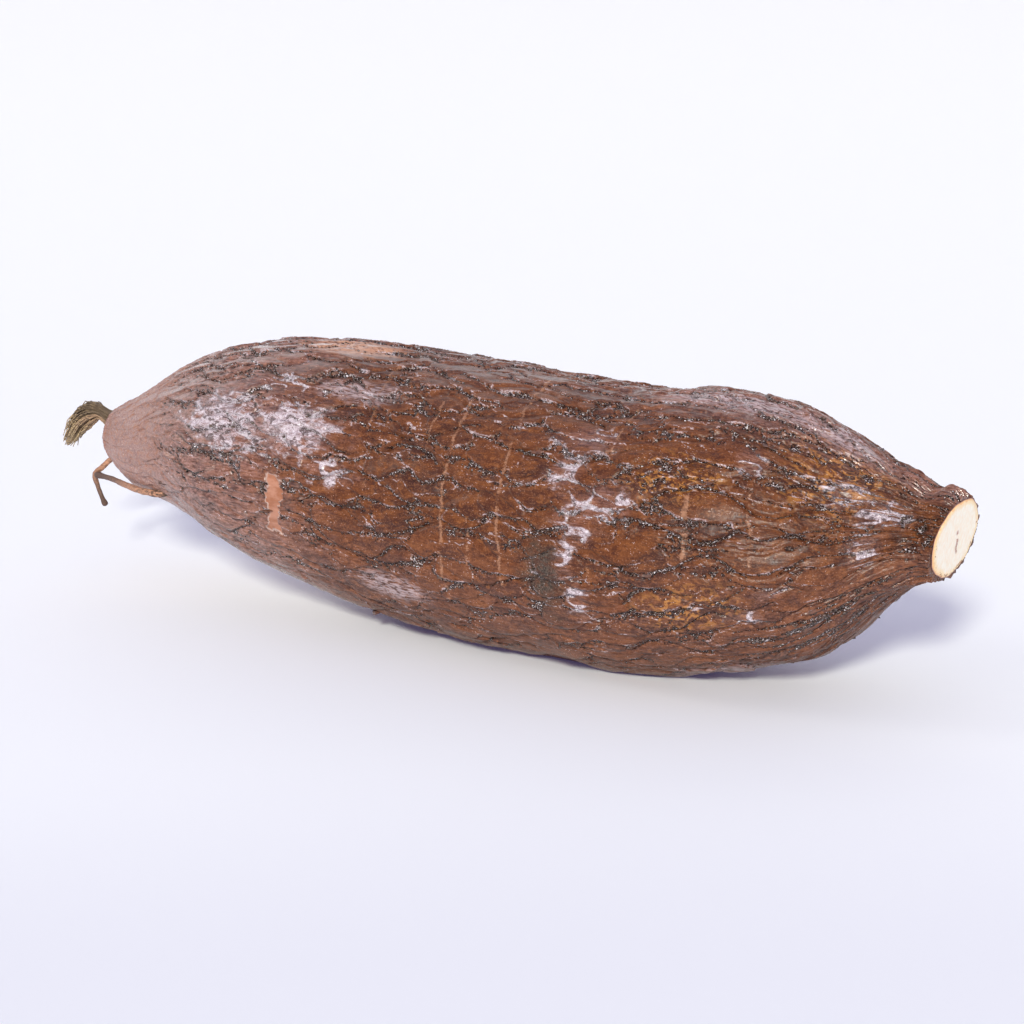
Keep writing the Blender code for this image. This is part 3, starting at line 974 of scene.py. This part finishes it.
def between(value, low, high, low_gives=0, high_gives=1):
    """A smooth step from one value to another as the input goes from low to high."""
    made = node(value.id_data, "ShaderNodeMapRange", {"interpolation_type": "SMOOTHSTEP"}, Value=value)
    return put(made, From_Min=low, From_Max=high, To_Min=low_gives, To_Max=high_gives).outputs[0]


def mixed(share, first, second):
    """Two colours mixed by a share: each is an output, four numbers, or a name in COLOURS."""
    made = node(share.id_data, "ShaderNodeMix", {"data_type": "RGBA"})
    for k, value in ((0, share), (6, first), (7, second)):
        plug(made.inputs[k], (*COLOURS[value], 1) if isinstance(value, str) else value)
    return made.outputs[2]


def painted(colour, *layers):
    """The colour with layers over it, each a share and a colour."""
    for share, tint in layers:
        colour = mixed(share, colour, tint)
    return colour


def grainy(tree, grain, detail=3, roughness=0.55, distortion=0):
    """Noise with grains of that size in millimetres along x, y and z."""
    place = node(tree, "ShaderNodeTexCoord").outputs["Object"]
    scale = tuple(1.0 / (g * MM) for g in grain)
    scaled = node(tree, "ShaderNodeMapping", Vector=place, Scale=scale).outputs[0]
    made = node(tree, "ShaderNodeTexNoise", Vector=scaled, Scale=1, Detail=detail)
    return put(made, Roughness=roughness, Distortion=distortion).outputs["Fac"]


def bumped(heights, distance):
    """A normal bent by heights, which go up to that distance in millimetres."""
    made = node(heights.id_data, "ShaderNodeBump", Height=heights, Distance=distance * MM, Strength=1)
    return made.outputs[0]


def bark_material():
    material, tree, shader = new_material("waxed_bark")
    broad = grainy(tree, (26, 9, 9), 2)
    middling = grainy(tree, (6, 2.4, 2.4), 4, 0.6, 0.4)
    mottle = grainy(tree, (1.7, 1.1, 1.1), 3, 0.6, 0.5)
    streaks = grainy(tree, (3.5, 0.5, 0.5), 4, 0.6)
    specks = grainy(tree, (0.5, 0.38, 0.38), 3, 0.7)
    crumbs = grainy(tree, (0.9, 0.7, 0.7), 3, 0.65)
    crumples = grainy(tree, (3.2, 2, 2), 3, 0.6, 1.2)
    rim, crack_and_shade, wax = mark(tree, "rim"), mark(tree, "crack_and_shade"), mark(tree, "wax")
    gold, tail, bare = mark(tree, "gold"), mark(tree, "tail"), mark(tree, "bare")

    # Each plate has a tone of its own, from purple brown to orange brown, with a fine mottle.
    tone = plus(times(mark(tree, "tone"), 0.6), times(broad, 0.6))
    colour = painted(
        mixed(between(tone, 0.25, 0.85), "purple_brown", "orange_brown"),
        (between(middling, 0.42, 0.72), "light_brown"),
        (between(middling, 0.5, 0.3, 0, 0.8), "dark_brown"),
        (between(mottle, 0.54, 0.72, 0, 0.6), "light_mottle"),
        (between(mottle, 0.46, 0.3, 0, 0.55), "dark_mottle"),
        (times(gold, between(crumples, 0.47, 0.38, 0, 0.75)), "gold_gaps"),
        (times(gold, between(crumples, 0.5, 0.6, 0, 0.9)), "gold"),
        (between(streaks, 0.5, 0.28, 0, 0.5), "dark_streaks"),
        (between(specks, 0.52, 0.66, 0, 0.5), "light_specks"),
        (between(specks, 0.46, 0.36, 0, 0.45), "dark_specks"),
    )

    # Dust at the tail, a painted sheen, tan patches and grey stains lie over that.
    dust = painted(
        mixed(between(specks, 0.35, 0.7), "dust_dark", "dust_light"),
        (between(mottle, 0.48, 0.6, 0, 0.85), "dust_rust"),
        (between(crumples, 0.47, 0.36, 0, 0.6), "dust_grey"),
    )
    painted_sheen = times(mark(tree, "painted_sheen"), between(streaks, 0.35, 0.65, 0.1, 1))
    painted_sheen = times(painted_sheen, between(mottle, 0.3, 0.6, 0.35, 1))
    painted_sheen = times(painted_sheen, between(tail, 0.2, 1, 1, 0.4))
    colour = painted(
        colour,
        (times(tail, 0.8), dust),
        (times(painted_sheen, 0.62), "painted_sheen"),
        (times(mark(tree, "tan"), between(streaks, 0.3, 0.55)), "tan"),
        (
            times(mark(tree, "stain"), between(mottle, 0.3, 0.6, 0.2, 0.95)),
            mixed(between(specks, 0.38, 0.62), "grime_dark", "grime_light"),
        ),
    )

    # Wax shows as painted highlights: thin lines on the lips of some plates, worm-like
    # creases where it is thick, and glints in the cracks, on thick wax and stray over the
    # plates. The cracks are painted dark as soil and painted shade, the wax has a milky colour
    # that is partly a painted sheen, with dark gaps, and pale patches are partly a painted sheen.
    in_crack_and_shade = between(plus(crack_and_shade, between(crumbs, 0.3, 0.7, -0.3, 0.25)), 0.45, 0.7)
    soil = mixed(between(specks, 0.44, 0.62), "soil_and_shade_dark", "soil_light")
    pale_and_sheen = times(mark(tree, "pale_and_sheen"), between(streaks, 0.38, 0.6))
    lip = times(between(rim, 0.5, 0.85), between(middling, 0.5, 0.6))
    lip = times(lip, between(specks, 0.44, 0.54, 0.12, 0.8))
    milky_and_sheen = times(between(wax, 0.3, 0.8), between(middling, 0.34, 0.56, 0.2, 0.75))
    gaps = times(between(wax, 0.3, 0.7), between(crumples, 0.47, 0.38, 0, 0.8))
    off_crease = maths("ABSOLUTE", maths("SUBTRACT", crumples, 0.5))
    crease_highlights = times(between(off_crease, 0.05, 0.015), between(crumbs, 0.36, 0.5))
    crease_highlights = most(crease_highlights, between(mottle, 0.61, 0.67, 0, 0.5))
    crease_highlights = most(crease_highlights, between(crumples, 0.57, 0.63, 0, 0.9))
    crease_highlights = times(crease_highlights, between(middling, 0.38, 0.52, 0.35, 1))
    crease_highlights = times(between(wax, 0.15, 0.7), crease_highlights)
    thick = most(in_crack_and_shade, between(wax, 0.4, 0.9, 0, 0.45))
    # Stray painted glints over the plates.
    stray_glints = times(between(specks, 0.66, 0.7), between(middling, 0.46, 0.56, 0, 0.8))
    colour = painted(
        colour,
        (in_crack_and_shade, soil),
        (times(pale_and_sheen, 0.75), "pale_and_sheen"),
        (milky_and_sheen, "milky_wax_and_sheen"),
        (gaps, "wax_gaps"),
        (most(times(lip, 0.8), times(crease_highlights, 0.8)), "painted_highlight_lines"),
        (most(times(thick, between(specks, 0.57, 0.64)), stray_glints), "painted_glints"),
    )

    # The worn rings, and the scraped patch with its pale edge.
    ring = between(plus(mark(tree, "ring"), between(specks, 0.3, 0.7, -0.45, 0.2)), 0.25, 0.75)
    edge = times(between(bare, 0.02, 0.3), between(bare, 0.75, 0.4))
    scraped = mixed(between(middling, 0.35, 0.65), "scraped_dark", "scraped_light")
    colour = painted(
        colour,
        (times(ring, between(mottle, 0.34, 0.58, 0.35, 0.85)), "ring"),
        (between(bare, 0.3, 0.7), scraped),
        (times(edge, 0.6), "scraped_edge"),
    )

    # The wax has a broad sheen all over and sharp glints where it is thick.
    roughness = mixed(thick, between(middling, 0.3, 0.7, 0.28, 0.46), GLINT_ROUGHNESS)
    waxed = between(most(most(wax, mark(tree, "painted_sheen")), in_crack_and_shade), 0.15, 0.9, 0.22, 1)
    put(
        shader,
        Base_Color=colour,
        Roughness=plus(roughness, times(tail, 0.2)),
        Coat_Weight=times(waxed, between(tail, 0.2, 1, 1, 0.5)),
        Coat_Roughness=0.11,
        Coat_IOR=1.5,
        Specular_IOR_Level=0.15,
    )

    # The wax is smooth over the plates, and beaded in the cracks and in its thick smears.
    fine = plus(times(specks, 0.35), times(streaks, 0.55))
    beaded = times(times(crumbs, most(in_crack_and_shade, times(wax, 0.6))), 4)
    normal = bumped(plus(fine, beaded), 0.17)
    put(shader, Normal=normal, Coat_Normal=normal)
    return material


def flesh_material():
    material, tree, shader = new_material("cut_flesh")
    edge = mark(tree, "edge")
    fibres = grainy(tree, (2, 0.5, 1.6), 4)
    specks = grainy(tree, (0.5, 0.45, 0.45), 2, 0.6)
    wavy_edge = plus(edge, between(fibres, 0.3, 0.7, -0.3, 0.3))
    streak = times(mark(tree, "streak"), between(specks, 0.3, 0.5, 0.5, 1))
    colour = painted(
        mixed(between(fibres, 0.3, 0.7), "flesh", "flesh_fibres"),
        (between(wavy_edge, 2.2, 0.9), "under_rind"),
        (between(wavy_edge, 0.8, 0.3), "rind"),
        (between(mark(tree, "dots"), 0.3, 0.75, 0, 0.85), "flesh_dots"),
        (between(edge, 0.3, 0.1), "rind_edge"),
        (times(streak, 0.9), "core_streak"),
    )
    put(
        shader,
        Base_Color=colour,
        Roughness=0.5,
        Subsurface_Weight=0.12,
        Subsurface_Radius=(0.002, 0.0012, 0.0007),
        Subsurface_Scale=1,
        Normal=bumped(fibres, 0.12),
    )
    return material


def fibre_material(name):
    """Dry fibre or rootlet bark, which changes colour from its base to its tip."""
    material, tree, shader = new_material(name)
    mottle = grainy(tree, (1.6, 0.6, 0.6), 4, 0.65)
    wavering = plus(mark(tree, "along"), between(mottle, 0.3, 0.7, -0.18, 0.18))
    colour = painted(
        mixed(between(wavering, 0.05, 0.3), f"{name}_base", f"{name}_middle"),
        (between(wavering, 0.5, 0.85), f"{name}_tip"),
        (between(mottle, 0.62, 0.4, 0, 0.55), "fibre_dark"),
    )
    put(shader, Base_Color=colour, Roughness=0.6, Normal=bumped(mottle, 0.2))
    return material


def crumb_material(name, roughness):
    """Flakes of bark, soil crumbs or beads of wax."""
    material, tree, shader = new_material(name)
    mottle = grainy(tree, (1.2, 1.2, 1.2), 3, 0.6)
    put(
        shader,
        Base_Color=mixed(between(mottle, 0.35, 0.65), f"{name}_dark", f"{name}_light"),
        Roughness=between(mottle, 0.3, 0.7, roughness, roughness + 0.12),
        Coat_Weight=0.6,
        Coat_Roughness=0.12,
        Normal=bumped(mottle, 0.1),
    )
    return material


# The stage.


def add_floor():
    """A pale sweep: a level floor that curves up far behind."""
    half_width, front, bend, radius, top, steps = 8.0, -6.0, 4.5, 1.5, 7.0, 16
    profile = [(front, 0.0), (0.0, 0.0), (bend, 0.0)]
    for k in range(1, steps + 1):
        angle = math.pi / 2 * k / steps
        profile.append((bend + radius * math.sin(angle), radius * (1 - math.cos(angle))))
    profile.append((bend + radius, top))
    points = [(x, y, z) for y, z in profile for x in (-half_width, half_width)]
    faces = [(2 * k, 2 * k + 1, 2 * k + 3, 2 * k + 2) for k in range(len(profile) - 1)]
    mesh = bpy.data.meshes.new("floor")
    mesh.from_pydata(points, [], faces)
    mesh.shade_smooth()
    material, tree, shader = new_material("pale_floor")
    place = node(tree, "ShaderNodeTexCoord").outputs["Object"]
    backwards = node(tree, "ShaderNodeSeparateXYZ", Vector=place).outputs["Y"]
    # The floor is darker at the front, a painted shade, and darker far back.
    tone = mixed(between(backwards, -0.25, -0.1), "floor_front", "floor")
    tone = mixed(between(backwards, 0.4, 4.5), tone, "floor_back")
    put(
        shader,
        Base_Color=tone,
        Emission_Color=FLOOR_GLOW,
        Emission_Strength=FLOOR_GLOW_STRENGTH,
        Roughness=0.7,
        Specular_IOR_Level=0.2,
    )
    mesh.materials.append(material)
    floor = add_object("floor", mesh)
    floor.rotation_euler.z = math.radians(CAMERA_AZIMUTH)


def add_light(name, towards, strength, angle):
    """A distant soft light."""
    lamp = bpy.data.lights.new(name, "SUN")
    lamp.energy = strength
    lamp.angle = math.radians(angle)
    lamp.color = SOFTBOX_COLOUR
    light = add_object(name, lamp)
    light.location = towards
    light.rotation_euler = Vector(towards).to_track_quat("Z", "Y").to_euler()


def add_lights():
    """Two soft lights, to the left and beside the camera, in a pale room that is bright above."""
    for name, light in LIGHTS.items():
        add_light(name, *light)
    world = bpy.data.worlds.new("studio")
    world.use_nodes = True
    tree = world.node_tree
    direction = node(tree, "ShaderNodeTexCoord").outputs["Generated"]
    upwards = node(tree, "ShaderNodeSeparateXYZ", Vector=direction).outputs["Z"]
    strength = between(upwards, 0.05, 0.85, *ROOM_STRENGTH)
    put(tree.nodes["Background"], Color=ROOM_COLOUR, Strength=strength)
    bpy.context.scene.world = world


def add_camera():
    azimuth, elevation = math.radians(CAMERA_AZIMUTH), math.radians(CAMERA_ELEVATION)
    back = Vector((
        math.sin(azimuth) * math.cos(elevation),
        -math.cos(azimuth) * math.cos(elevation),
        math.sin(elevation),
    ))
    lens = bpy.data.cameras.new("camera")
    lens.sensor_width = CAMERA_SENSOR
    lens.lens = CAMERA_LENS
    lens.clip_start = 0.05
    lens.clip_end = 40.0
    camera = add_object("camera", lens)
    camera.location = Vector(CAMERA_AIM) + back * CAMERA_DISTANCE
    camera.rotation_euler = (-back).to_track_quat("-Z", "Y").to_euler()
    bpy.context.scene.camera = camera


def main():
    draw = np.random.default_rng(SEED)
    points, normals, marks = add_skin(bark_material())
    add_flesh(flesh_material(), draw)
    add_rootlets(fibre_material("rootlet"))
    add_tuft(fibre_material("tuft_top"), fibre_material("tuft_under"), draw)
    add_flakes(points, normals, marks, crumb_material("flake", 0.35), draw)
    deep = ramp(marks["crack_and_shade"], 0.5, 1.0)
    soil = crumb_material("soil_crumbs", 0.3)
    add_grains(points, normals, "soil_crumbs", deep, CRUMBS, CRUMB_SIZES, soil, draw)
    waxy = deep * (0.25 + ramp(marks["wax"], 0.3, 1.0)) * (points[..., 0] < BEADS_END_X)
    wax = crumb_material("wax_beads", 0.2)
    add_grains(points, normals, "wax_beads", waxy, BEADS, BEAD_SIZES, wax, draw)
    add_floor()
    add_lights()
    add_camera()
    bpy.context.scene.view_settings.view_transform = "Standard"


main()
